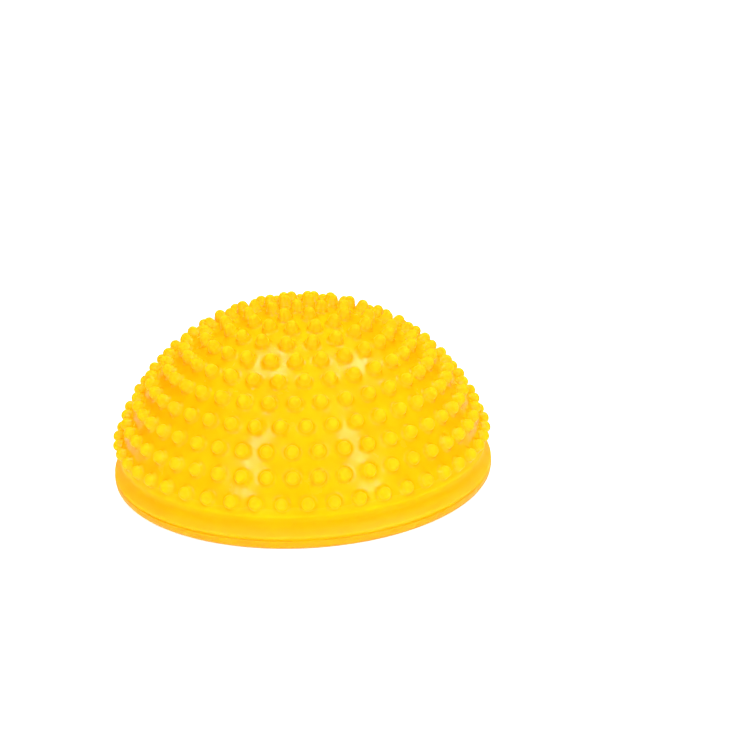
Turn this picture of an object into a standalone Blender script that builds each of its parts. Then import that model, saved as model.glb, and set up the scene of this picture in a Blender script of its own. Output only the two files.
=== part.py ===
"""Spiky half-ball balance pod: a hollow PVC dome covered with nubs, closed by a flat base disc
with an inflation valve and its push-in plug.

Row frame: metres, +Z up along the pod's axis, origin at the centre of the base at floor level.
The front of the pod is -Y, and bearings are measured from it towards +X.
"""

import math

import bmesh
import bpy
from mathutils import Vector
from mathutils.geometry import delaunay_2d_cdt, interpolate_bezier

MM = 0.001
GAP = 0.3 * MM  # between pieces that are bonded or that slide in each other

# The dome is part of a sphere whose centre lies under the floor.
DOME_RADIUS = 81.8 * MM
DOME_CENTRE_Z = -11.7 * MM
DOME_EDGE_DEG = 17.8  # elevation, seen from the sphere's centre, at which the dome meets the neck
WALL = 3.0 * MM

# The nubs stand on rings at one even pitch, from the lowest ring up to a single nub at the pole.
# Each pair is the number of nubs on the ring and the bearing of its first nub in degrees.
NUB_RINGS = (
    (48, 1.1), (46, 4.7), (43, 5.3), (39, 1.9), (34, -2.2), (29, 2.4),
    (24, -1.7), (18, -8.8), (13, -7.0), (6, 30.0), (1, 0.0),
)
LOWEST_RING_DEG = 21.1
RING_STEP_DEG = (90.0 - LOWEST_RING_DEG) / (len(NUB_RINGS) - 1)
NUB_SIDES = 6
NUB_FOOT_RADIUS = 3.9 * MM
NUB_SHOULDER_RADIUS = 2.6 * MM
NUB_CROWN = 1.4 * MM  # from the shoulder up to the tip
LOWEST_NUB_HEIGHT = 3.8 * MM
NUB_HEIGHT = 5.0 * MM  # at the pole

# Under the dome the wall draws in to a neck, then flares out to the ridge of the rim band.
NECK_RADIUS = 77.2 * MM
NECK_Z = 10.0 * MM
NECK_STEPS = 3
BAND_RADIUS = 80.1 * MM
RIDGE_Z = 5.0 * MM
RIDGE_ROUND = 1.2 * MM
RIDGE_DEG = 50.0  # where the flare runs into the ridge's round
RIDGE_PULL = 1.8 * MM
FLARE_STEPS = 4
PARTING_CHAMFER = 0.4 * MM  # on the band's and the disc's edges where they meet
LAND_INNER_RADIUS = 70.0 * MM  # the band's underside is a flat land, bonded to the base disc
LINING_EDGE_DEG = 17.0  # elevation at which the round lining of the dome starts
LINING_STEPS = 7

# Base disc: a foot ring on the floor, a raised centre panel, and a well round the valve.
DISC_THICKNESS = 3.8 * MM
DISC_RADIUS = 80.2 * MM
DISC_ROUND = 2.6 * MM  # radius of its lower outer edge
FOOT_INNER_RADIUS = 62.0 * MM
PANEL_Z = 1.2 * MM
WELL_RADIUS = 14.0 * MM
WELL_Z = 3.4 * MM
VALVE_HOLE_RADIUS = 6.4 * MM

# Valve seat: a thick-walled tube with a flange inside the pod. It stands on the roof of the well,
# and its heights and the plug's are measured up from there.
SEAT_BORE_RADIUS = 3.1 * MM
SEAT_FLANGE_RADIUS = 11.0 * MM
SEAT_FLANGE_THICKNESS = 2.2 * MM
SEAT_HEIGHT = 13.6 * MM
SEAT_LEAD_IN = 0.6 * MM

# Valve plug: a flat head in the well and a shank with retaining ribs in the seat.
PLUG_HEAD_RADIUS = 5.6 * MM
PLUG_HEAD_THICKNESS = 1.5 * MM
PLUG_HEAD_CHAMFER = 0.4 * MM
PLUG_SHANK_RADIUS = 2.4 * MM
PLUG_RIB_RADIUS = 2.8 * MM
PLUG_RIB_HALF_WIDTH = 0.6 * MM
PLUG_RIB_HEIGHTS = (3.6 * MM, 7.1 * MM)
PLUG_LENGTH = 11.6 * MM
PLUG_NOSE_ROUND = 1.2 * MM

RIM_SEGMENTS = 72
VALVE_SEGMENTS = 28
ROUND_STEPS = 3
SHARP_DEG = 35.0
SAME_POINT = 0.001 * MM

YELLOW = (0.95, 0.60, 0.01, 1.0)
WHITE = (0.86, 0.85, 0.80, 1.0)


def clear_scene():
    for obj in list(bpy.data.objects):
        bpy.data.objects.remove(obj)


def material(name, colour, roughness):
    made = bpy.data.materials.new(name)
    made.use_nodes = True
    shader = made.node_tree.nodes["Principled BSDF"]
    shader.inputs["Base Color"].default_value = colour
    shader.inputs["Roughness"].default_value = roughness
    shader.inputs["Metallic"].default_value = 0.0
    return made


def add_object(name, mesh, finish):
    mesh.materials.append(finish)
    mesh.shade_smooth()
    mesh.set_sharp_from_angle(angle=math.radians(SHARP_DEG))
    obj = bpy.data.objects.new(name, mesh)
    bpy.context.scene.collection.objects.link(obj)
    return obj


def place(obj, parent, height):
    obj.parent = parent
    obj.location.z = height


def arc(radius, height, size, start_deg, end_deg, steps):
    """Points (r, z) on an arc of that size about (radius, height), ends included."""
    angles = [math.radians(start_deg + (end_deg - start_deg) * i / steps) for i in range(steps + 1)]
    return [(radius + size * math.cos(a), height + size * math.sin(a)) for a in angles]


def curve(start, start_pull, end_pull, end, steps):
    """Points between the ends of a cubic Bezier, with the ends themselves left out."""
    points = interpolate_bezier(start, start_pull, end_pull, end, steps + 1)
    return [tuple(p) for p in points[1:-1]]


def spin_profile(target, profile, segments, closed):
    """Turns a profile of (r, z) points once round Z into the bmesh target."""
    points = [target.verts.new((0.0, -r, z)) for r, z in profile]
    pairs = list(zip(points, points[1:]))
    if closed:
        pairs.append((points[-1], points[0]))
    edges = [target.edges.new(pair) for pair in pairs]
    bmesh.ops.spin(
        target, geom=points + edges, cent=(0, 0, 0), axis=(0, 0, 1),
        angle=math.tau, steps=segments, use_merge=True,
    )
    bmesh.ops.remove_doubles(target, verts=target.verts, dist=SAME_POINT)


def turned_solid(name, profile, segments, finish):
    """A solid of revolution from a closed profile of (r, z) points."""
    work = bmesh.new()
    spin_profile(work, profile, segments, closed=True)
    return solid_from(work, name, finish)


def solid_from(work, name, finish):
    bmesh.ops.triangulate(work, faces=work.faces)
    bmesh.ops.recalc_face_normals(work, faces=work.faces)
    mesh = bpy.data.meshes.new(name)
    work.to_mesh(mesh)
    work.free()
    return add_object(name, mesh, finish)


def dome_direction(elevation_deg, bearing_deg):
    """Unit vector from the sphere's centre; bearing 0 is the front, -Y."""
    elevation, bearing = math.radians(elevation_deg), math.radians(bearing_deg)
    return Vector((
        math.cos(elevation) * math.sin(bearing),
        -math.cos(elevation) * math.cos(bearing),
        math.sin(elevation),
    ))


def dome_point(direction, radius=DOME_RADIUS):
    return Vector((0, 0, DOME_CENTRE_Z)) + direction * radius


def flattened(direction):
    """The dome unrolled on a plane: distance from the middle is the angle from the pole."""
    from_pole = math.acos(max(-1.0, min(1.0, direction.z)))
    flat = Vector((direction.x, direction.y))
    return flat.normalized() * from_pole if flat.length > 1e-9 else flat


def nub_axes():
    """The direction of every nub, ring by ring from the lowest."""
    for ring, (count, first_bearing) in enumerate(NUB_RINGS):
        elevation = LOWEST_RING_DEG + ring * RING_STEP_DEG
        for i in range(count):
            yield dome_direction(elevation, first_bearing + 360.0 * i / count)


def nub_height(axis):
    """Nubs grow from the lowest ring to the pole, in step with the height of their foot."""
    lowest = math.sin(math.radians(LOWEST_RING_DEG))
    share = (axis.z - lowest) / (1.0 - lowest)
    return LOWEST_NUB_HEIGHT + (NUB_HEIGHT - LOWEST_NUB_HEIGHT) * share


def circle_round(axis, radius, distance):
    """NUB_SIDES points at that radius round a nub's axis, at a distance from the sphere's centre."""
    side = Vector((-axis.y, axis.x, 0.0))
    side = side.normalized() if side.length > 1e-6 else Vector((1, 0, 0))
    up = axis.cross(side)
    for i in range(NUB_SIDES):
        angle = math.tau * i / NUB_SIDES
        offset = side * math.cos(angle) + up * math.sin(angle)
        yield dome_point(axis, distance) + offset * radius


def add_nub_skin(work):
    """The dome's outer skin with all its nubs, down to the dome's lower edge.

    The feet of the nubs and the edge circle are unrolled on a plane, the plane between them is
    triangulated, and a nub is raised on each foot that stays open.
    """
    feet = []
    foot_distance = math.sqrt(DOME_RADIUS**2 - NUB_FOOT_RADIUS**2)
    for axis in nub_axes():
        feet.append((axis, list(circle_round(axis, NUB_FOOT_RADIUS, foot_distance))))
    edge = [
        dome_point(dome_direction(DOME_EDGE_DEG, 360.0 * i / RIM_SEGMENTS)) for i in range(RIM_SEGMENTS)
    ]
    points = edge + [p for _, foot in feet for p in foot]
    outlines = [list(range(RIM_SEGMENTS))]
    for i in range(len(feet)):
        start = RIM_SEGMENTS + i * NUB_SIDES
        outlines.append(list(range(start, start + NUB_SIDES)))
    plane = [flattened((p - Vector((0, 0, DOME_CENTRE_Z))).normalized()) for p in points]
    _, _, triangles, sources, _, inside = delaunay_2d_cdt(plane, [], outlines, 1, 1e-7)

    verts = [work.verts.new(p) for p in points]
    for triangle, outline_ids in zip(triangles, inside):
        if list(outline_ids) == [0]:
            work.faces.new([verts[sources[v][0]] for v in triangle])
    for i, (axis, _) in enumerate(feet):
        start = RIM_SEGMENTS + i * NUB_SIDES
        foot = verts[start:start + NUB_SIDES]
        tip_distance = DOME_RADIUS + nub_height(axis)
        shoulder_distance = tip_distance - NUB_CROWN
        shoulder = [work.verts.new(p) for p in circle_round(axis, NUB_SHOULDER_RADIUS, shoulder_distance)]
        tip = work.verts.new(dome_point(axis, tip_distance))
        for j in range(NUB_SIDES):
            k = (j + 1) % NUB_SIDES
            work.faces.new((foot[j], foot[k], shoulder[k], shoulder[j]))
            work.faces.new((shoulder[j], shoulder[k], tip))


def rim_and_lining_profile():
    """From the dome's lower edge down the neck, round the band, along the land, and up the inside."""
    edge_angle = math.radians(DOME_EDGE_DEG)
    edge = (DOME_RADIUS * math.cos(edge_angle), DOME_CENTRE_Z + DOME_RADIUS * math.sin(edge_angle))
    neck = (NECK_RADIUS, NECK_Z)
    land_z = DISC_THICKNESS + GAP
    ridge = arc(BAND_RADIUS - RIDGE_ROUND, RIDGE_Z, RIDGE_ROUND, RIDGE_DEG, 0, ROUND_STEPS)
    lean = math.radians(RIDGE_DEG)
    ridge_pull = Vector((-math.sin(lean), math.cos(lean))) * RIDGE_PULL
    draw_in = Vector((0.0, (edge[1] - NECK_Z) / 3))
    profile = [edge]
    profile += curve(edge, Vector(edge) - draw_in, Vector(neck) + draw_in, neck, NECK_STEPS)
    profile += [neck]
    profile += curve(neck, Vector(neck) - draw_in, Vector(ridge[0]) + ridge_pull, ridge[0], FLARE_STEPS)
    profile += ridge
    profile += [(BAND_RADIUS, land_z + PARTING_CHAMFER), (BAND_RADIUS - PARTING_CHAMFER, land_z)]
    profile += [(LAND_INNER_RADIUS, land_z), (LAND_INNER_RADIUS, land_z + WALL)]
    profile += arc(0.0, DOME_CENTRE_Z, DOME_RADIUS - WALL, LINING_EDGE_DEG, 90.0, LINING_STEPS)
    return profile


def dome_shell(finish):
    work = bmesh.new()
    add_nub_skin(work)
    spin_profile(work, rim_and_lining_profile(), RIM_SEGMENTS, closed=False)
    return solid_from(work, "dome_shell", finish)


def base_disc(finish):
    step = DISC_THICKNESS - PANEL_Z
    panel_top = PANEL_Z + DISC_THICKNESS
    well_top = WELL_Z + DISC_THICKNESS
    profile = arc(DISC_RADIUS - DISC_ROUND, DISC_ROUND, DISC_ROUND, 0, -90, ROUND_STEPS + 1)
    profile += [
        (FOOT_INNER_RADIUS, 0.0),
        (FOOT_INNER_RADIUS - step, PANEL_Z),
        (WELL_RADIUS + step, PANEL_Z),
        (WELL_RADIUS, WELL_Z),
        (VALVE_HOLE_RADIUS, WELL_Z),
        (VALVE_HOLE_RADIUS, well_top),
        (WELL_RADIUS + DISC_THICKNESS / 2, well_top),
        (WELL_RADIUS + DISC_THICKNESS / 2 + step, panel_top),
        (FOOT_INNER_RADIUS, panel_top),
        (FOOT_INNER_RADIUS + step, DISC_THICKNESS),
        (DISC_RADIUS - PARTING_CHAMFER, DISC_THICKNESS),
        (DISC_RADIUS, DISC_THICKNESS - PARTING_CHAMFER),
    ]
    return turned_solid("base_disc", profile, RIM_SEGMENTS, finish)


def valve_seat(finish):
    outer = VALVE_HOLE_RADIUS - GAP
    flange_bottom = DISC_THICKNESS + GAP
    flange_top = flange_bottom + SEAT_FLANGE_THICKNESS
    profile = [
        (SEAT_BORE_RADIUS + SEAT_LEAD_IN, 0.0),
        (outer, 0.0),
        (outer, flange_bottom),
        (SEAT_FLANGE_RADIUS, flange_bottom),
        (SEAT_FLANGE_RADIUS, flange_top),
        (outer, flange_top + SEAT_LEAD_IN),
        (outer - SEAT_LEAD_IN, SEAT_HEIGHT),
        (SEAT_BORE_RADIUS, SEAT_HEIGHT),
        (SEAT_BORE_RADIUS, SEAT_LEAD_IN),
    ]
    return turned_solid("valve_seat", profile, VALVE_SEGMENTS, finish)


def valve_plug(finish):
    head_top = -GAP
    head_bottom = head_top - PLUG_HEAD_THICKNESS
    profile = [
        (0.0, head_bottom),
        (PLUG_HEAD_RADIUS - PLUG_HEAD_CHAMFER, head_bottom),
        (PLUG_HEAD_RADIUS, head_bottom + PLUG_HEAD_CHAMFER),
        (PLUG_HEAD_RADIUS, head_top - PLUG_HEAD_CHAMFER),
        (PLUG_HEAD_RADIUS - PLUG_HEAD_CHAMFER, head_top),
        (PLUG_SHANK_RADIUS, head_top),
    ]
    for rib_z in PLUG_RIB_HEIGHTS:
        profile += [
            (PLUG_SHANK_RADIUS, rib_z - PLUG_RIB_HALF_WIDTH),
            (PLUG_RIB_RADIUS, rib_z),
            (PLUG_SHANK_RADIUS, rib_z + PLUG_RIB_HALF_WIDTH),
        ]
    nose = (PLUG_SHANK_RADIUS - PLUG_NOSE_ROUND, PLUG_LENGTH - PLUG_NOSE_ROUND)
    profile += arc(*nose, PLUG_NOSE_ROUND, 0, 90, ROUND_STEPS)
    profile += [(0.0, PLUG_LENGTH)]
    work = bmesh.new()
    spin_profile(work, profile, VALVE_SEGMENTS, closed=False)
    return solid_from(work, "valve_plug", finish)


def build():
    clear_scene()
    dome_shell(material("dome_pvc", YELLOW, 0.38))
    disc = base_disc(material("base_pvc", YELLOW, 0.45))
    seat = valve_seat(material("valve_pvc", YELLOW, 0.5))
    plug = valve_plug(material("plug_plastic", WHITE, 0.45))
    place(seat, disc, WELL_Z)
    place(plug, disc, WELL_Z)


build()
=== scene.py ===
import math
import random

import bmesh
import bpy
import numpy as np
from mathutils import Euler, Matrix, Vector, noise
from mathutils.geometry import delaunay_2d_cdt, interpolate_bezier


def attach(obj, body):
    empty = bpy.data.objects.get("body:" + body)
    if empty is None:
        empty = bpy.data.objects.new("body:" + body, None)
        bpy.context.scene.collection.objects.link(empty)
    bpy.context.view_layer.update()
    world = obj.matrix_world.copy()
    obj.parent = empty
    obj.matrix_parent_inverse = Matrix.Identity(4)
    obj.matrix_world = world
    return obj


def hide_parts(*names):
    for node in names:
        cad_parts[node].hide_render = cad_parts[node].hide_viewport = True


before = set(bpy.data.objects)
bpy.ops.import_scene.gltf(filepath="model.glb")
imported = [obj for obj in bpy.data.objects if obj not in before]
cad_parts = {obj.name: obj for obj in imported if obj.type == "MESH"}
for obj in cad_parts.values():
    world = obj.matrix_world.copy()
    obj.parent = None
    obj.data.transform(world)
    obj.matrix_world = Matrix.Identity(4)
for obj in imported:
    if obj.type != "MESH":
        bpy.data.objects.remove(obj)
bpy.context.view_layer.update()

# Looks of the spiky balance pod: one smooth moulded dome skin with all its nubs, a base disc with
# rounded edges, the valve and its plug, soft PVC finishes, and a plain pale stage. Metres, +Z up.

MM = 0.001
GAP = 0.3 * MM  # between pieces, except along the parting line that shows
TINY = 1e-9  # lengths under this count as zero

# The dome is a cap of a sphere whose centre lies under the floor.
DOME_CENTRE = Vector((0.0, 0.0, -11.7 * MM))
DOME_RADIUS = 81.8 * MM
DOME_EDGE_DEG = 17.8
WALL = 3.0 * MM
CAD_LOWEST_RING_DEG = 21.1
CAD_LOWEST_NUB_HEIGHT = 3.8 * MM
CAD_NUB_HEIGHT = 5.0 * MM  # at the pole
CAD_TIP_TOLERANCE = 0.1 * MM
CAD_AXIS_DIGITS = 4  # to which the corners of one nub's tip agree on its axis

# One nub: a fillet up from the shell, a tapered side and a round tip.
NUB_HEIGHT = 4.9 * MM  # at the pole
NUB_FILLET = 1.1 * MM
NUB_TAPER_DEG = 17.0
NUB_TIP_ROUND = 2.3 * MM
NUB_SEGMENTS = 20
NUB_FILLET_STEPS = 3
NUB_TIP_STEPS = 5
NUB_LEAN = 0.020  # sideways drift of a tip, as a share of the height
NUB_VARIATION = 0.020  # share by which a nub's height and width differ

# The skin between the nubs, with the slow unevenness of a soft moulding.
VALLEY_SPACING = 1.25 * MM
WAVE_SIZE = 22 * MM
WAVE_HEIGHT = 0.16 * MM
RIPPLE_SIZE = 7 * MM
RIPPLE_HEIGHT = 0.05 * MM
RIPPLE_SHIFT = Vector((5.0, 0.0, 0.0))  # keeps the ripples apart from the waves
FACES_INSIDE_OUTLINES = 1  # delaunay_2d_cdt's output type

# Under the dome: a neck, a flare, the ridge of the rim band, and the parting line of the base.
NECK_RADIUS = 77.2 * MM
NECK_Z = 10.0 * MM
NECK_STEPS = 5
NECK_PULL = 1 / 3  # the neck's Bezier handles, as a share of the drop from the dome's edge to the neck
FLARE_STEPS = 7
BAND_RADIUS = 80.1 * MM
RIDGE_Z = 5.0 * MM
RIDGE_ROUND = 1.2 * MM
RIDGE_DEG = 50.0  # where the flare runs into the ridge's round
RIDGE_PULL = 1.8 * MM
PARTING_ROUND = 0.3 * MM
PARTING_GAP = 0.03 * MM
LAND_INNER_RADIUS = 70.0 * MM
LINING_EDGE_DEG = 17.0
LINING_STEPS = 10
RIM_SEGMENTS = 240

# The base disc: a foot ring on the floor, a raised centre panel, and a well round the valve.
DISC_THICKNESS = 3.8 * MM
DISC_RADIUS = 80.2 * MM
DISC_ROUND = 2.6 * MM
FOOT_INNER_RADIUS = 62.0 * MM
PANEL_Z = 1.2 * MM
WELL_RADIUS = 14.0 * MM
WELL_Z = 3.4 * MM
VALVE_HOLE_RADIUS = 6.4 * MM
CORNER_ROUND = 0.5 * MM
CORNER_STEPS = 4

# The valve seat and the plug; their heights are measured up from the roof of the well.
SEAT_BORE_RADIUS = 3.1 * MM
SEAT_FLANGE_RADIUS = 11.0 * MM
SEAT_FLANGE_THICKNESS = 2.2 * MM
SEAT_HEIGHT = 13.6 * MM
SEAT_EDGE = 0.5 * MM
PLUG_HEAD_RADIUS = 5.6 * MM
PLUG_HEAD_THICKNESS = 1.5 * MM
PLUG_HEAD_EDGE = 0.45 * MM
PLUG_DISH_RADIUS = 3.4 * MM
PLUG_DISH_DEPTH = 0.35 * MM
PLUG_SHANK_RADIUS = 2.4 * MM
PLUG_RIB_RADIUS = 2.8 * MM
PLUG_RIB_HALF_WIDTH = 0.6 * MM
PLUG_RIB_EDGE = 0.25 * MM
PLUG_RIB_HEIGHTS = (3.6 * MM, 7.1 * MM)
PLUG_LENGTH = 11.6 * MM
PLUG_NOSE_ROUND = 1.2 * MM
VALVE_SEGMENTS = 96

# Faces that meet at more than this angle have a sharp edge between them.
SHARP_DEG = 40.0
SKIN_SHARP_DEG = 50.0

# Colours: linear RGB and alpha.
VALLEY_DEEP = (0.96, 0.332, 0.001, 1.0)
VALLEY_BRIGHT = (0.97, 0.358, 0.002, 1.0)
# The nub sides are painted lighter, as painted light that lifts the shade round their feet, and the heads
# darker, as painted shade that tones down the light on their crowns.
SIDE_PAINTED_LIGHT = (0.97, 0.348, 0.003, 1.0)
HEAD_PAINTED_SHADE_DEEP = (0.96, 0.305, 0.003, 1.0)
HEAD_PAINTED_SHADE_BRIGHT = (0.97, 0.325, 0.004, 1.0)
# The neck and band under the nubs are painted a deeper orange than the dome: painted shade.
RIM_PAINTED_SHADE_DEEP = (0.94, 0.290, 0.001, 1.0)
RIM_PAINTED_SHADE_BRIGHT = (0.95, 0.315, 0.001, 1.0)
# A pale painted highlight along the ridge of the rim band.
RIDGE_PAINTED_HIGHLIGHT = (0.98, 0.325, 0.012, 1.0)
# The base is painted a deeper orange than the dome: painted shade on its edge, which faces slightly down.
BASE_PAINTED_SHADE_DEEP = (0.93, 0.275, 0.001, 1.0)
BASE_PAINTED_SHADE_BRIGHT = (0.94, 0.292, 0.001, 1.0)
SPECK = (0.93, 0.300, 0.004, 1.0)
SCUFF = (0.80, 0.330, 0.030, 1.0)
PLUG_WHITE = (0.80, 0.78, 0.70, 1.0)
PLUG_SHADE = (0.70, 0.67, 0.57, 1.0)
DUST = (0.45, 0.42, 0.36, 1.0)
WHITE = (1.0, 1.0, 1.0, 1.0)

# Patterns in the finishes: cells per metre, detail, and the noise levels between which each fades in.
PATCHES = (55.0, 3.0, 0.3, 0.7)
BASE_PATCHES = (55.0, 4.0, 0.3, 0.7)
SPECKS = (900.0, 2.0, 0.72, 0.80)
SMUDGES = (130.0, 4.0, 0.35, 0.75)
# The next pattern makes the painted ridge highlight uneven along its length.
RIDGE_HIGHLIGHT_PATCHES = (35.0, 2.0, 0.3, 0.65)
SCUFFS = (420.0, 6.0, 0.52, 0.72)
YELLOWING = (300.0, 3.0, 0.35, 0.65)
PLUG_DUST = (2600.0, 3.0, 0.62, 0.74)
PLUG_WEAR = (700.0, 4.0, 0.3, 0.7)

# How strongly the patterns show.
SPECK_STRENGTH = 0.25
RIDGE_HIGHLIGHT_LEAST = 0.55  # share of the painted ridge highlight left where it is weakest along the ridge
SCUFF_STRENGTH = 0.6
DUST_STRENGTH = 0.4
SMUDGE_ROUGHNESS = (-0.04, 0.08)  # added to the dome's roughness

# Where the finishes change over the height.
SCUFF_TOP_Z = 0.5 * MM
# Where the painted ridge highlight fades in and out.
RIDGE_HIGHLIGHT_FADE_IN = (RIDGE_Z - 0.5 * MM, RIDGE_Z + 0.3 * MM)
RIDGE_HIGHLIGHT_FADE_OUT = (RIDGE_Z + 0.8 * MM, RIDGE_Z + 4.0 * MM)
# Height over which the rim's painted shade fades out.
RIM_PAINTED_SHADE_FADE = (9.0 * MM, 15.0 * MM)
RIM_MATT_FADE = (13.0 * MM, 18.0 * MM)

# Gloss: specular level and roughness.
VALLEY_SPECULAR = 0.28
MATT_SPECULAR = 0.07
VALLEY_ROUGHNESS = 0.21
MATT_ROUGHNESS = 0.50
RIM_MATT = 0.97  # how far the rim goes from the valleys' gloss to matt
BASE_SPECULAR = 0.35
BASE_ROUGHNESS = (0.36, 0.50)
PLUG_ROUGHNESS = (0.34, 0.52)

# Shares of a nub's height over which its finish changes.
RISE_TO_MATT = (0.0, 0.85)
# The colour fades to the sides' painted light and then to the heads' painted shade over these shares.
RISE_TO_PAINTED_SIDE_LIGHT = (0.0, 0.35)
RISE_TO_PAINTED_HEAD_SHADE = (0.45, 0.80)

# Soft PVC: light soaks in, red furthest, and the moulded skin has a slight orange peel.
PVC_IOR = 1.5
PVC_SOAK = (1.0, 0.7, 0.1)
PVC_SOAK_DEPTH = 5.0 * MM
PVC_GRAIN = (260.0, 1400.0, 0.15, 0.08 * MM)  # coarse and fine scale, strength, depth
PLUG_GRAIN = (1200.0, 5200.0, 0.3, 0.03 * MM)
COARSE_GRAIN_DETAIL = 2.0
FINE_GRAIN_DETAIL = 3.0
FINE_GRAIN_SHARE = 0.35

# The stage's floor.
FLOOR_SIZE = 40.0
FLOOR_GAP = 0.05 * MM  # below the foot ring
FLOOR_WHITE = (0.92, 0.92, 0.92, 1.0)
FLOOR_ROUGHNESS = 0.9
FLOOR_GLOW = 0.38
FLOOR_SHINE = 0.35  # share of the floor's brightness that shows in the pod's gloss

# The camera.
CAMERA_LENS = 74.6
CAMERA_SENSOR = 36.0
CAMERA_PLACE = (0.0053, -0.6130, 0.2699)
CAMERA_YAW_DEG = 2.45
CAMERA_PITCH_DEG = 20.52
CAMERA_ROLL_DEG = -1.58

# The lights: bearings from the front (-Y) towards +X and elevations in degrees, sizes as width and length.
FILL_BEARINGS = (-6.0, 12.0)
FILL_ELEVATION = 43.0
FILL_DISTANCE = 2.1
FILL_SIZE = (1.2, 1.2)
FILL_POWER = 28.0
BACK_BEARING = 175.0
BACK_POWER = 26.0
STRIP_BEARINGS = (-38.0, 40.0)
STRIP_ELEVATION = 39.0
STRIP_DISTANCE = 1.3
STRIP_SIZE = (0.11, 1.0)
STRIP_POWER = 4.2
TOP_DIRECTIONS = ((-142.0, 71.0), (125.0, 60.0))  # bearing and elevation of each
TOP_DISTANCE = 1.3
TOP_SIZE = (0.30, 0.40)
TOP_POWER = 2.8
UNDER_ELEVATION = -90.0
UNDER_DISTANCE = 0.8
UNDER_SIZE = (0.6, 0.6)
UNDER_POWER = 6.5
WORLD_STRENGTH = 0.34

RANDOM_SEED = 11


# ---------------------------------------------------------------- mesh helpers

def make_object(name, verts, faces, sharp_deg=SHARP_DEG):
    """A smooth shaded mesh object with its faces turned outwards."""
    mesh = bpy.data.meshes.new(name)
    mesh.from_pydata([tuple(v) for v in verts], [], faces)
    work = bmesh.new()
    work.from_mesh(mesh)
    bmesh.ops.recalc_face_normals(work, faces=work.faces)
    work.to_mesh(mesh)
    work.free()
    mesh.shade_smooth()
    mesh.set_sharp_from_angle(angle=math.radians(sharp_deg))
    obj = bpy.data.objects.new(name, mesh)
    bpy.context.scene.collection.objects.link(obj)
    return obj


def arc(radius, height, size, start_deg, end_deg, steps):
    """Points (r, z) on an arc of that size about (radius, height), ends included."""
    angles = [math.radians(start_deg + (end_deg - start_deg) * i / steps) for i in range(steps + 1)]
    return [(radius + size * math.cos(a), height + size * math.sin(a)) for a in angles]


def curve(start, start_pull, end_pull, end, steps):
    """Points between the ends of a cubic Bezier, with the ends themselves left out."""
    points = interpolate_bezier(start, start_pull, end_pull, end, steps + 1)
    return [tuple(p) for p in points[1:-1]]


def circle(radius, z, segments):
    """Points round Z, from the front (-Y) towards +X."""
    angles = [math.tau * i / segments for i in range(segments)]
    return [Vector((radius * math.sin(a), -radius * math.cos(a), z)) for a in angles]


def bands(pairs):
    """Quads between pairs of rings, or triangles where one ring is a single point."""
    faces = []
    for lower, upper in pairs:
        for i in range(len(lower)):
            j = (i + 1) % len(lower)
            corners = (lower[i], lower[j], upper[j], upper[i])
            faces.append(tuple(dict.fromkeys(corners)))
    return faces


def rounded(corners):
    """Rounds the corners of a closed profile; each corner is (r, z, size of the round)."""
    profile = []
    for i, (r, z, size) in enumerate(corners):
        if size == 0.0:
            profile.append((r, z))
            continue
        here = Vector((r, z))
        before = (Vector(corners[i - 1][:2]) - here).normalized()
        after = (Vector(corners[(i + 1) % len(corners)][:2]) - here).normalized()
        half = before.angle(after) / 2
        centre = here + (before + after).normalized() * size / math.sin(half)
        start = here + before * size / math.tan(half) - centre
        end = here + after * size / math.tan(half) - centre
        turn = start.angle_signed(end)
        for k in range(CORNER_STEPS + 1):
            spoke = start.copy()
            spoke.rotate(Matrix.Rotation(-turn * k / CORNER_STEPS, 2))
            profile.append(tuple(centre + spoke))
    return profile


def turned(name, profile, segments):
    """A closed solid turned about Z; a profile that starts and ends on the axis closes itself."""
    verts, rings = [], []
    for r, z in profile:
        if r == 0.0:
            rings.append([len(verts)] * segments)
            verts.append((0.0, 0.0, z))
        else:
            rings.append(list(range(len(verts), len(verts) + segments)))
            verts.extend(circle(r, z, segments))
    pairs = list(zip(rings, rings[1:]))
    if profile[0][0] > 0.0:
        pairs.append((rings[-1], rings[0]))
    return make_object(name, verts, bands(pairs))


# ---------------------------------------------------------------- dome skin

def dome_edge():
    """(r, z) of the dome's lower edge, where the neck begins."""
    angle = math.radians(DOME_EDGE_DEG)
    return DOME_RADIUS * math.cos(angle), DOME_CENTRE.z + DOME_RADIUS * math.sin(angle)


def shell_distance(radius):
    """How far from the dome's centre, along an axis, the shell has that radius round the axis."""
    return math.sqrt(DOME_RADIUS**2 - radius**2)


def cad_nub_height(axis):
    """Nubs are taller towards the pole, in step with how high they stand on the dome."""
    lowest = math.sin(math.radians(CAD_LOWEST_RING_DEG))
    share = (axis.z - lowest) / (1.0 - lowest)
    return CAD_LOWEST_NUB_HEIGHT + (CAD_NUB_HEIGHT - CAD_LOWEST_NUB_HEIGHT) * share


def nub_axes():
    """Directions from the dome's centre to the nub tips, read from the CAD shell."""
    tips = set()
    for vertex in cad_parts["dome_shell"].data.vertices:
        offset = vertex.co - DOME_CENTRE
        axis = offset.normalized()
        if offset.length > DOME_RADIUS + cad_nub_height(axis) - CAD_TIP_TOLERANCE:
            tips.add(axis.to_tuple(CAD_AXIS_DIGITS))
    in_order = sorted(tips, key=lambda t: (t[2], math.atan2(t[0], -t[1])))
    return [Vector(t).normalized() for t in in_order]


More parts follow.
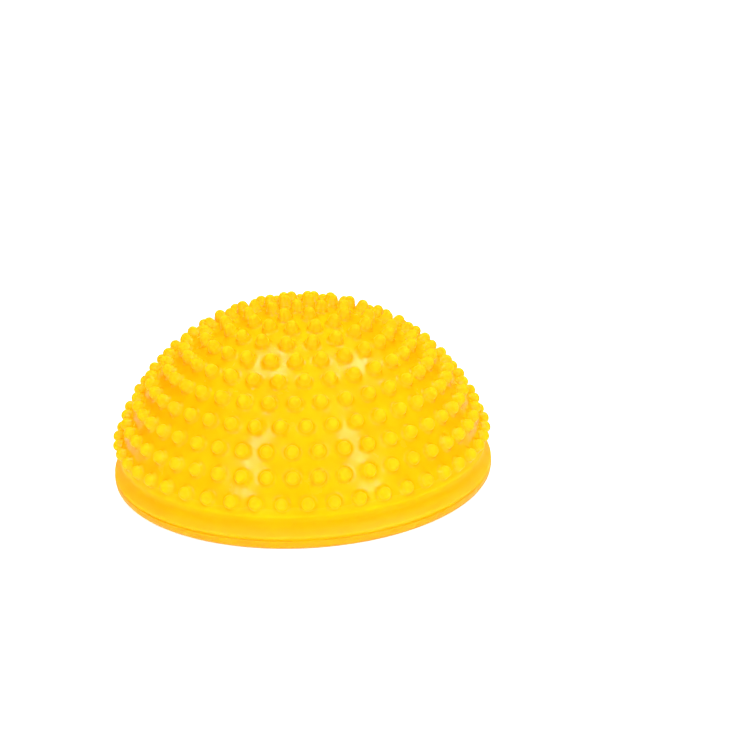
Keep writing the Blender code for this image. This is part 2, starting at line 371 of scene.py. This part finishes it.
def nub_profile():
    """(r, h) points of a nub above the shell, from its foot on the shell to just under the tip."""
    taper = math.radians(NUB_TAPER_DEG)
    tip_centre = NUB_HEIGHT - NUB_TIP_ROUND
    side_r = NUB_TIP_ROUND * math.cos(taper)
    side_h = tip_centre + NUB_TIP_ROUND * math.sin(taper)
    side_length = side_h - NUB_FILLET * (1.0 - math.sin(taper))
    foot_r = side_r + side_length * math.tan(taper) + NUB_FILLET * math.cos(taper)
    fillet = arc(foot_r, NUB_FILLET, NUB_FILLET, -90, NUB_TAPER_DEG - 180, NUB_FILLET_STEPS)
    tip = arc(0.0, tip_centre, NUB_TIP_ROUND, NUB_TAPER_DEG, 90, NUB_TIP_STEPS)
    return fillet + tip[:-1]


def side_vectors(axis):
    """Two directions square to the axis, the first of them level."""
    side = Vector((-axis.y, axis.x, 0.0))
    side = side.normalized() if side.length > TINY else Vector((1.0, 0.0, 0.0))
    return side, axis.cross(side)


def flattened(direction):
    """The dome unrolled on a plane: distance from the middle is the angle from the pole."""
    from_pole = math.acos(max(-1.0, min(1.0, direction.z)))
    flat = Vector((direction.x, direction.y))
    return flat.normalized() * from_pole if flat.length > TINY else flat


def valley_directions(axes, foot_radius):
    """Evenly spread directions over the dome, clear of every nub's foot and of the lower edge."""
    nubs = np.array(axes)
    clear = math.cos((foot_radius + VALLEY_SPACING / 2) / DOME_RADIUS)
    step = VALLEY_SPACING / DOME_RADIUS
    lowest = math.radians(DOME_EDGE_DEG) + step
    rows = int((math.pi / 2 - lowest) / step)
    kept = []
    for row in range(rows + 1):
        elevation = lowest + (math.pi / 2 - lowest) * row / rows
        flat = math.cos(elevation)
        count = max(1, round(math.tau * flat / step))
        bearings = (np.arange(count) + row % 2 / 2) * math.tau / count
        heights = np.full(count, math.sin(elevation))
        spots = np.stack([flat * np.sin(bearings), -flat * np.cos(bearings), heights], 1)
        kept.extend(Vector(s) for s in spots[(spots @ nubs.T).max(axis=1) < clear])
    return kept


def wavy(point):
    """Moves a point of the outer skin in or out by the slow unevenness of a soft moulding."""
    away = (point - DOME_CENTRE).normalized()
    rise = WAVE_HEIGHT * noise.noise(point / WAVE_SIZE)
    rise += RIPPLE_HEIGHT * noise.noise(point / RIPPLE_SIZE + RIPPLE_SHIFT)
    return point + away * rise


def add_valleys(verts, faces, axes, foot_radius):
    """The skin between the nubs; returns the rim's ring and the ring of every nub's foot."""
    verts.extend(circle(*dome_edge(), RIM_SEGMENTS))
    outlines = [list(range(RIM_SEGMENTS))]
    for axis in axes:
        centre = DOME_CENTRE + axis * shell_distance(foot_radius)
        outlines.append(add_nub_ring(verts, centre, axis, foot_radius))
    verts.extend(DOME_CENTRE + d * DOME_RADIUS for d in valley_directions(axes, foot_radius))
    plane = [flattened((v - DOME_CENTRE).normalized()) for v in verts]
    _, _, triangles, sources, _, inside = delaunay_2d_cdt(
        plane, [], outlines, FACES_INSIDE_OUTLINES, TINY
    )
    for triangle, outline_ids in zip(triangles, inside):
        if list(outline_ids) == [0]:
            faces.append(tuple(sources[v][0] for v in triangle))
    return outlines[0], outlines[1:]


def add_nub_ring(verts, centre, axis, radius):
    """A ring of points square to the nub's axis; returns their numbers."""
    side, up = side_vectors(axis)
    ring = list(range(len(verts), len(verts) + NUB_SEGMENTS))
    for i in range(NUB_SEGMENTS):
        angle = math.tau * i / NUB_SEGMENTS
        spoke = side * math.cos(angle) + up * math.sin(angle)
        verts.append(centre + spoke * radius)
    return ring


def add_nub(verts, faces, axis, foot, profile):
    """Raises one nub from the ring of its foot; each one leans and swells a little differently."""
    side, up = side_vectors(axis)
    lean = side * random.uniform(-NUB_LEAN, NUB_LEAN) + up * random.uniform(-NUB_LEAN, NUB_LEAN)
    taller = cad_nub_height(axis) / CAD_NUB_HEIGHT - random.uniform(0.0, NUB_VARIATION)
    wider = random.uniform(-NUB_VARIATION, NUB_VARIATION)
    ring = foot
    for r, h in profile[1:]:
        radius = r * (1.0 + wider * h / NUB_HEIGHT)
        centre = DOME_CENTRE + axis * (shell_distance(r) + h * taller) + lean * h
        above = add_nub_ring(verts, centre, axis, radius)
        faces += bands([(ring, above)])
        ring = above
    tip = len(verts)
    verts.append(DOME_CENTRE + axis * (DOME_RADIUS + NUB_HEIGHT * taller) + lean * NUB_HEIGHT)
    faces += bands([(ring, [tip] * NUB_SEGMENTS)])


def rim_profile():
    """(r, z) from the dome's lower edge down the neck, over the ridge and down to the parting line."""
    edge = Vector(dome_edge())
    neck = Vector((NECK_RADIUS, NECK_Z))
    land_z = DISC_THICKNESS + GAP
    band = arc(BAND_RADIUS - RIDGE_ROUND, RIDGE_Z, RIDGE_ROUND, RIDGE_DEG, 0, 2 * CORNER_STEPS)
    band += arc(BAND_RADIUS - PARTING_ROUND, land_z + PARTING_ROUND, PARTING_ROUND, 0, -90, CORNER_STEPS)
    ridge = Vector(band[0])
    lean = math.radians(RIDGE_DEG)
    pull = Vector((-math.sin(lean), math.cos(lean))) * RIDGE_PULL
    draw_in = Vector((0.0, (edge.y - NECK_Z) * NECK_PULL))
    profile = curve(edge, edge - draw_in, neck + draw_in, neck, NECK_STEPS)
    profile += [tuple(neck)]
    profile += curve(neck, neck - draw_in, ridge + pull, ridge, FLARE_STEPS)
    return profile + band


def lining_profile():
    """(r, z) along the bonding land and up the inside of the wall to the pole."""
    land_z = DISC_THICKNESS + GAP
    lining = arc(0.0, DOME_CENTRE.z, DOME_RADIUS - WALL, LINING_EDGE_DEG, 90, LINING_STEPS)
    return [(LAND_INNER_RADIUS, land_z), (LAND_INNER_RADIUS, land_z + WALL)] + lining[:-1]


def dome_skin():
    """Valleys and nubs, then the rim, the bonding land and the inside of the wall, in one closed mesh."""
    verts, faces = [], []
    axes = nub_axes()
    profile = nub_profile()
    rim, feet = add_valleys(verts, faces, axes, profile[0][0])
    for axis, foot in zip(axes, feet):
        add_nub(verts, faces, axis, foot, profile)
    verts = verts[:RIM_SEGMENTS] + [wavy(v) for v in verts[RIM_SEGMENTS:]]
    ring = rim
    for r, z in rim_profile() + lining_profile():
        below = list(range(len(verts), len(verts) + RIM_SEGMENTS))
        verts.extend(circle(r, z, RIM_SEGMENTS))
        faces += bands([(ring, below)])
        ring = below
    pole = len(verts)
    verts.append(DOME_CENTRE + Vector((0.0, 0.0, DOME_RADIUS - WALL)))
    faces += bands([(ring, [pole] * RIM_SEGMENTS)])
    return make_object("pod_dome_skin", verts, faces, SKIN_SHARP_DEG)


# ---------------------------------------------------------------- base disc and valve

def base_disc():
    """A sheet that rises in steps from the foot ring to the well's roof, with a land for the dome."""
    step = DISC_THICKNESS - PANEL_Z
    panel_top = PANEL_Z + DISC_THICKNESS
    well_top = WELL_Z + DISC_THICKNESS
    inner = WELL_RADIUS + DISC_THICKNESS / 2
    rim_top = DISC_THICKNESS + GAP - PARTING_GAP
    corners = [
        (DISC_RADIUS, 0.0, DISC_ROUND),
        (FOOT_INNER_RADIUS, 0.0, CORNER_ROUND),
        (FOOT_INNER_RADIUS - step, PANEL_Z, CORNER_ROUND),
        (WELL_RADIUS + step, PANEL_Z, CORNER_ROUND),
        (WELL_RADIUS, WELL_Z, CORNER_ROUND),
        (VALVE_HOLE_RADIUS, WELL_Z, CORNER_ROUND / 2),
        (VALVE_HOLE_RADIUS, well_top, 0.0),
        (inner, well_top, 0.0),
        (inner + step, panel_top, 0.0),
        (FOOT_INNER_RADIUS, panel_top, 0.0),
        (FOOT_INNER_RADIUS + step, DISC_THICKNESS, 0.0),
        (LAND_INNER_RADIUS, DISC_THICKNESS, 0.0),
        (LAND_INNER_RADIUS, rim_top, 0.0),
        (DISC_RADIUS, rim_top, PARTING_ROUND),
    ]
    return turned("pod_base_disc", rounded(corners), RIM_SEGMENTS)


def above_well(corners):
    """The same corners, with their heights measured from the floor."""
    return [(r, z + WELL_Z, size) for r, z, size in corners]


def valve_seat():
    """A tube through the disc, with a flange inside."""
    outer = VALVE_HOLE_RADIUS - GAP
    flange_bottom = DISC_THICKNESS + GAP
    flange_top = flange_bottom + SEAT_FLANGE_THICKNESS
    corners = [
        (SEAT_BORE_RADIUS, 0.0, SEAT_EDGE),
        (outer, 0.0, SEAT_EDGE),
        (outer, flange_bottom, 0.0),
        (SEAT_FLANGE_RADIUS, flange_bottom, SEAT_EDGE),
        (SEAT_FLANGE_RADIUS, flange_top, SEAT_EDGE),
        (outer, flange_top, SEAT_EDGE),
        (outer, SEAT_HEIGHT, SEAT_EDGE),
        (SEAT_BORE_RADIUS, SEAT_HEIGHT, SEAT_EDGE),
    ]
    return turned("pod_valve_seat", rounded(above_well(corners)), VALVE_SEGMENTS)


def valve_plug():
    """A dished head, a shank with sealing ribs and a rounded nose."""
    head_top = -GAP
    head_bottom = head_top - PLUG_HEAD_THICKNESS
    dish = head_bottom + PLUG_DISH_DEPTH
    corners = [
        (0.0, dish, 0.0),
        (PLUG_DISH_RADIUS - PLUG_HEAD_EDGE, dish, PLUG_RIB_EDGE),
        (PLUG_DISH_RADIUS, head_bottom, PLUG_RIB_EDGE),
        (PLUG_HEAD_RADIUS, head_bottom, PLUG_HEAD_EDGE),
        (PLUG_HEAD_RADIUS, head_top, PLUG_HEAD_EDGE),
        (PLUG_SHANK_RADIUS, head_top, PLUG_RIB_EDGE),
    ]
    for rib_z in PLUG_RIB_HEIGHTS:
        corners += [
            (PLUG_SHANK_RADIUS, rib_z - PLUG_RIB_HALF_WIDTH, PLUG_RIB_EDGE),
            (PLUG_RIB_RADIUS, rib_z, PLUG_RIB_EDGE),
            (PLUG_SHANK_RADIUS, rib_z + PLUG_RIB_HALF_WIDTH, PLUG_RIB_EDGE),
        ]
    corners += [(PLUG_SHANK_RADIUS, PLUG_LENGTH, PLUG_NOSE_ROUND), (0.0, PLUG_LENGTH, 0.0)]
    return turned("pod_valve_plug", rounded(above_well(corners)), VALVE_SEGMENTS)


# ---------------------------------------------------------------- finishes

def node(tree, kind, **inputs):
    """A new node, with inputs set by name; an underscore stands for a space."""
    made = tree.nodes.new(kind)
    for name, value in inputs.items():
        made.inputs[name.replace("_", " ")].default_value = value
    return made


def finish_named(name):
    made = bpy.data.materials.new(name)
    made.use_nodes = True
    return made, made.node_tree, made.node_tree.nodes["Principled BSDF"]


def object_point(tree):
    """Coordinates that stay with the object as it moves."""
    return tree.nodes.new("ShaderNodeTexCoord").outputs["Object"]


def cloud(tree, scale, detail):
    """Noise in the object's own coordinates."""
    made = node(tree, "ShaderNodeTexNoise", Scale=scale, Detail=detail)
    tree.links.new(object_point(tree), made.inputs["Vector"])
    return made.outputs["Fac"]


def remap(tree, value, start, end, low, high):
    """Goes from low to high, with soft ends, as the value goes from start to end."""
    made = node(tree, "ShaderNodeMapRange", From_Min=start, From_Max=end, To_Min=low, To_Max=high)
    made.interpolation_type = "SMOOTHSTEP"
    tree.links.new(value, made.inputs["Value"])
    return made.outputs["Result"]


def pattern(tree, kind, low, high):
    """One of the patterns listed above, spread from low to high."""
    scale, detail, start, end = kind
    return remap(tree, cloud(tree, scale, detail), start, end, low, high)


def combine(tree, operation, first, second):
    made = tree.nodes.new("ShaderNodeMath")
    made.operation = operation
    tree.links.new(first, made.inputs[0])
    tree.links.new(second, made.inputs[1])
    return made.outputs["Value"]


def blend(tree, factor, first, second):
    """Mixes two colours, each a value or another node's output."""
    made = tree.nodes.new("ShaderNodeMix")
    made.data_type = "RGBA"
    tree.links.new(factor, made.inputs["Factor"])
    sockets = [s for s in made.inputs if s.type == "RGBA"]
    for socket, colour in zip(sockets, (first, second)):
        if isinstance(colour, tuple):
            socket.default_value = colour
        else:
            tree.links.new(colour, socket)
    return next(s for s in made.outputs if s.type == "RGBA")


def object_height(tree):
    made = tree.nodes.new("ShaderNodeSeparateXYZ")
    tree.links.new(object_point(tree), made.inputs["Vector"])
    return made.outputs["Z"]


def nub_rise(tree, shares):
    """0 under the first share of a nub's height, 1 over the second."""
    made = tree.nodes.new("ShaderNodeVectorMath")
    made.operation = "DISTANCE"
    made.inputs[1].default_value = tuple(DOME_CENTRE)
    tree.links.new(object_point(tree), made.inputs[0])
    first, last = (DOME_RADIUS + share * NUB_HEIGHT for share in shares)
    return remap(tree, made.outputs["Value"], first, last, 0.0, 1.0)


def painted_ridge_highlight(tree):
    """1 along the rim's ridge, where a pale highlight is painted into the colour, uneven along its length.
    """
    above = remap(tree, object_height(tree), *RIDGE_HIGHLIGHT_FADE_IN, 0.0, 1.0)
    below = remap(tree, object_height(tree), *RIDGE_HIGHLIGHT_FADE_OUT, 1.0, 0.0)
    uneven = pattern(tree, RIDGE_HIGHLIGHT_PATCHES, RIDGE_HIGHLIGHT_LEAST, 1.0)
    return combine(tree, "MULTIPLY", combine(tree, "MULTIPLY", above, below), uneven)


def soften(shader):
    """Light that soaks into the soft PVC."""
    shader.inputs["IOR"].default_value = PVC_IOR
    shader.inputs["Subsurface Weight"].default_value = 1.0
    shader.inputs["Subsurface Radius"].default_value = PVC_SOAK
    shader.inputs["Subsurface Scale"].default_value = PVC_SOAK_DEPTH


def add_grain(tree, shader, grain):
    """The slight orange peel of a moulded surface."""
    coarse_scale, fine_scale, strength, depth = grain
    fine = remap(tree, cloud(tree, fine_scale, FINE_GRAIN_DETAIL), 0.0, 1.0, 0.0, FINE_GRAIN_SHARE)
    bump = node(tree, "ShaderNodeBump", Strength=strength, Distance=depth)
    relief = combine(tree, "ADD", cloud(tree, coarse_scale, COARSE_GRAIN_DETAIL), fine)
    tree.links.new(relief, bump.inputs["Height"])
    tree.links.new(bump.outputs["Normal"], shader.inputs["Normal"])


def dome_colour(tree):
    """Valleys; nub sides painted lighter, as painted light that lifts their shade, and heads painted
    darker, as painted shade that tones down the light on their crowns; the rim painted a deeper orange as
    painted shade under the nubs; a painted highlight along its ridge; and a few specks over them all.
    """
    patches = pattern(tree, PATCHES, 0.0, 1.0)
    valley = blend(tree, patches, VALLEY_DEEP, VALLEY_BRIGHT)
    head = blend(tree, patches, HEAD_PAINTED_SHADE_DEEP, HEAD_PAINTED_SHADE_BRIGHT)
    # Painted light on the nub sides, painted shade on the heads.
    skin = blend(tree, nub_rise(tree, RISE_TO_PAINTED_SIDE_LIGHT), valley, SIDE_PAINTED_LIGHT)
    skin = blend(tree, nub_rise(tree, RISE_TO_PAINTED_HEAD_SHADE), skin, head)
    # Painted shade on the neck and band under the nubs.
    painted_shade_under_nubs = remap(tree, object_height(tree), *RIM_PAINTED_SHADE_FADE, 1.0, 0.0)
    skin = blend(tree, painted_shade_under_nubs, skin, blend(tree, patches, RIM_PAINTED_SHADE_DEEP, RIM_PAINTED_SHADE_BRIGHT))
    # Painted highlight along the ridge.
    skin = blend(tree, painted_ridge_highlight(tree), skin, RIDGE_PAINTED_HIGHLIGHT)
    specks = pattern(tree, SPECKS, 0.0, SPECK_STRENGTH)
    return blend(tree, specks, skin, SPECK)


def dome_finish():
    """Glossy between the nubs, matt on their worn crowns and on the rim."""
    made, tree, shader = finish_named("dome_soft_pvc")
    tree.links.new(dome_colour(tree), shader.inputs["Base Color"])
    rim = remap(tree, object_height(tree), *RIM_MATT_FADE, RIM_MATT, 0.0)
    matt = combine(tree, "MAXIMUM", nub_rise(tree, RISE_TO_MATT), rim)
    specular = remap(tree, matt, 0.0, 1.0, VALLEY_SPECULAR, MATT_SPECULAR)
    tree.links.new(specular, shader.inputs["Specular IOR Level"])
    plain_roughness = remap(tree, matt, 0.0, 1.0, VALLEY_ROUGHNESS, MATT_ROUGHNESS)
    smudge = pattern(tree, SMUDGES, *SMUDGE_ROUGHNESS)
    tree.links.new(combine(tree, "ADD", plain_roughness, smudge), shader.inputs["Roughness"])
    soften(shader)
    add_grain(tree, shader, PVC_GRAIN)
    return made


def base_finish(name):
    """Satin PVC, painted a deeper orange than the dome as painted shade on the base's slightly
    downward-facing edge, and scuffed where it stands on the floor.
    """
    made, tree, shader = finish_named(name)
    patches = pattern(tree, BASE_PATCHES, 0.0, 1.0)
    # The deeper orange here is painted shade.
    plain = blend(tree, patches, BASE_PAINTED_SHADE_DEEP, BASE_PAINTED_SHADE_BRIGHT)
    floor_contact = remap(tree, object_height(tree), 0.0, SCUFF_TOP_Z, 1.0, 0.0)
    streaks = pattern(tree, SCUFFS, 0.0, SCUFF_STRENGTH)
    scuffs = combine(tree, "MULTIPLY", floor_contact, streaks)
    tree.links.new(blend(tree, scuffs, plain, SCUFF), shader.inputs["Base Color"])
    smudge = pattern(tree, SMUDGES, *BASE_ROUGHNESS)
    tree.links.new(combine(tree, "ADD", smudge, scuffs), shader.inputs["Roughness"])
    shader.inputs["Specular IOR Level"].default_value = BASE_SPECULAR
    soften(shader)
    add_grain(tree, shader, PVC_GRAIN)
    return made


def plug_finish():
    """Off-white plastic, a little yellowed, with dust in the grain."""
    made, tree, shader = finish_named("plug_white_plastic")
    yellowing = pattern(tree, YELLOWING, 0.0, 1.0)
    plain = blend(tree, yellowing, PLUG_WHITE, PLUG_SHADE)
    dust = pattern(tree, PLUG_DUST, 0.0, DUST_STRENGTH)
    tree.links.new(blend(tree, dust, plain, DUST), shader.inputs["Base Color"])
    wear = pattern(tree, PLUG_WEAR, *PLUG_ROUGHNESS)
    tree.links.new(wear, shader.inputs["Roughness"])
    add_grain(tree, shader, PLUG_GRAIN)
    return made


def dress(obj, body, replaced_node, finish):
    """Gives a piece its finish, ties it to its body and hides the CAD node it stands for."""
    obj.data.materials.append(finish)
    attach(obj, body)
    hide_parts(replaced_node)


# ---------------------------------------------------------------- stage

def stage_floor():
    """A wide pale floor with a slight glow of its own."""
    bpy.ops.mesh.primitive_plane_add(size=FLOOR_SIZE)
    floor = bpy.context.object
    floor.name = "stage_floor"
    floor.location.z = -FLOOR_GAP
    made, tree, shader = finish_named("stage_white")
    shader.inputs["Base Color"].default_value = FLOOR_WHITE
    shader.inputs["Roughness"].default_value = FLOOR_ROUGHNESS
    shader.inputs["Emission Color"].default_value = WHITE
    shader.inputs["Emission Strength"].default_value = FLOOR_GLOW
    see_through(tree, shader)
    floor.data.materials.append(made)


def see_through(tree, shader):
    """Leaves the floor clear from below, for views of the underside, and dimmer in reflections."""
    behind = tree.nodes.new("ShaderNodeNewGeometry").outputs["Backfacing"]
    mirrored = tree.nodes.new("ShaderNodeLightPath").outputs["Is Glossy Ray"]
    dimmed = remap(tree, mirrored, 0.0, 1.0, 0.0, 1.0 - FLOOR_SHINE)
    mix = tree.nodes.new("ShaderNodeMixShader")
    clear = tree.nodes.new("ShaderNodeBsdfTransparent")
    tree.links.new(combine(tree, "MAXIMUM", behind, dimmed), mix.inputs[0])
    tree.links.new(shader.outputs["BSDF"], mix.inputs[1])
    tree.links.new(clear.outputs["BSDF"], mix.inputs[2])
    tree.links.new(mix.outputs["Shader"], tree.nodes["Material Output"].inputs["Surface"])


def area_light(name, bearing_deg, elevation_deg, distance, size, power, glossy):
    """A soft rectangular light that faces the pod; without glossy it doesn't show in reflections."""
    bearing = math.radians(bearing_deg)
    elevation = math.radians(elevation_deg)
    data = bpy.data.lights.new(name, "AREA")
    data.shape = "RECTANGLE"
    data.size, data.size_y = size
    data.energy = power
    obj = bpy.data.objects.new(name, data)
    bpy.context.scene.collection.objects.link(obj)
    flat = math.cos(elevation)
    direction = Vector((flat * math.sin(bearing), -flat * math.cos(bearing), math.sin(elevation)))
    obj.location = direction * distance
    obj.rotation_euler = direction.to_track_quat("Z", "Y").to_euler()
    obj.visible_glossy = glossy


def lights():
    """Broad fills light the pod, and narrower strips and panels make the reflections between the nubs."""
    fills = [(bearing, FILL_POWER) for bearing in FILL_BEARINGS] + [(BACK_BEARING, BACK_POWER)]
    for bearing, power in fills:
        area_light(f"fill_{bearing:.0f}", bearing, FILL_ELEVATION, FILL_DISTANCE, FILL_SIZE, power, False)
    for bearing in STRIP_BEARINGS:
        name = f"strip_{bearing:.0f}"
        area_light(name, bearing, STRIP_ELEVATION, STRIP_DISTANCE, STRIP_SIZE, STRIP_POWER, True)
    for bearing, elevation in TOP_DIRECTIONS:
        area_light(f"top_{bearing:.0f}", bearing, elevation, TOP_DISTANCE, TOP_SIZE, TOP_POWER, True)
    # What hangs under the floor's plane, such as the pulled plug, has a light of its own.
    area_light("under_fill", 0.0, UNDER_ELEVATION, UNDER_DISTANCE, UNDER_SIZE, UNDER_POWER, False)
    studio_world()


def studio_world():
    """An even dim light from all round that doesn't show in reflections."""
    world = bpy.data.worlds.new("studio")
    bpy.context.scene.world = world
    world.use_nodes = True
    world.node_tree.nodes["Background"].inputs["Color"].default_value = WHITE
    world.node_tree.nodes["Background"].inputs["Strength"].default_value = WORLD_STRENGTH
    world.cycles_visibility.glossy = False


def camera():
    """Looks down at the pod from the front, with a slight roll."""
    data = bpy.data.cameras.new("camera")
    data.sensor_width = CAMERA_SENSOR
    data.lens = CAMERA_LENS
    obj = bpy.data.objects.new("camera", data)
    bpy.context.scene.collection.objects.link(obj)
    obj.location = CAMERA_PLACE
    tilt = math.radians(90.0 - CAMERA_PITCH_DEG)
    look = Euler((tilt, 0.0, -math.radians(CAMERA_YAW_DEG))).to_matrix()
    spin = Euler((0.0, 0.0, math.radians(CAMERA_ROLL_DEG))).to_matrix()
    obj.rotation_euler = (look @ spin).to_euler()
    bpy.context.scene.camera = obj


# ---------------------------------------------------------------- build

random.seed(RANDOM_SEED)
dress(dome_skin(), "pod", "dome_shell", dome_finish())
dress(base_disc(), "pod", "base_disc", base_finish("base_soft_pvc"))
dress(valve_seat(), "pod", "valve_seat", base_finish("valve_soft_pvc"))
dress(valve_plug(), "plug", "valve_plug", plug_finish())

stage_floor()
lights()
camera()
bpy.context.scene.view_settings.view_transform = "Standard"
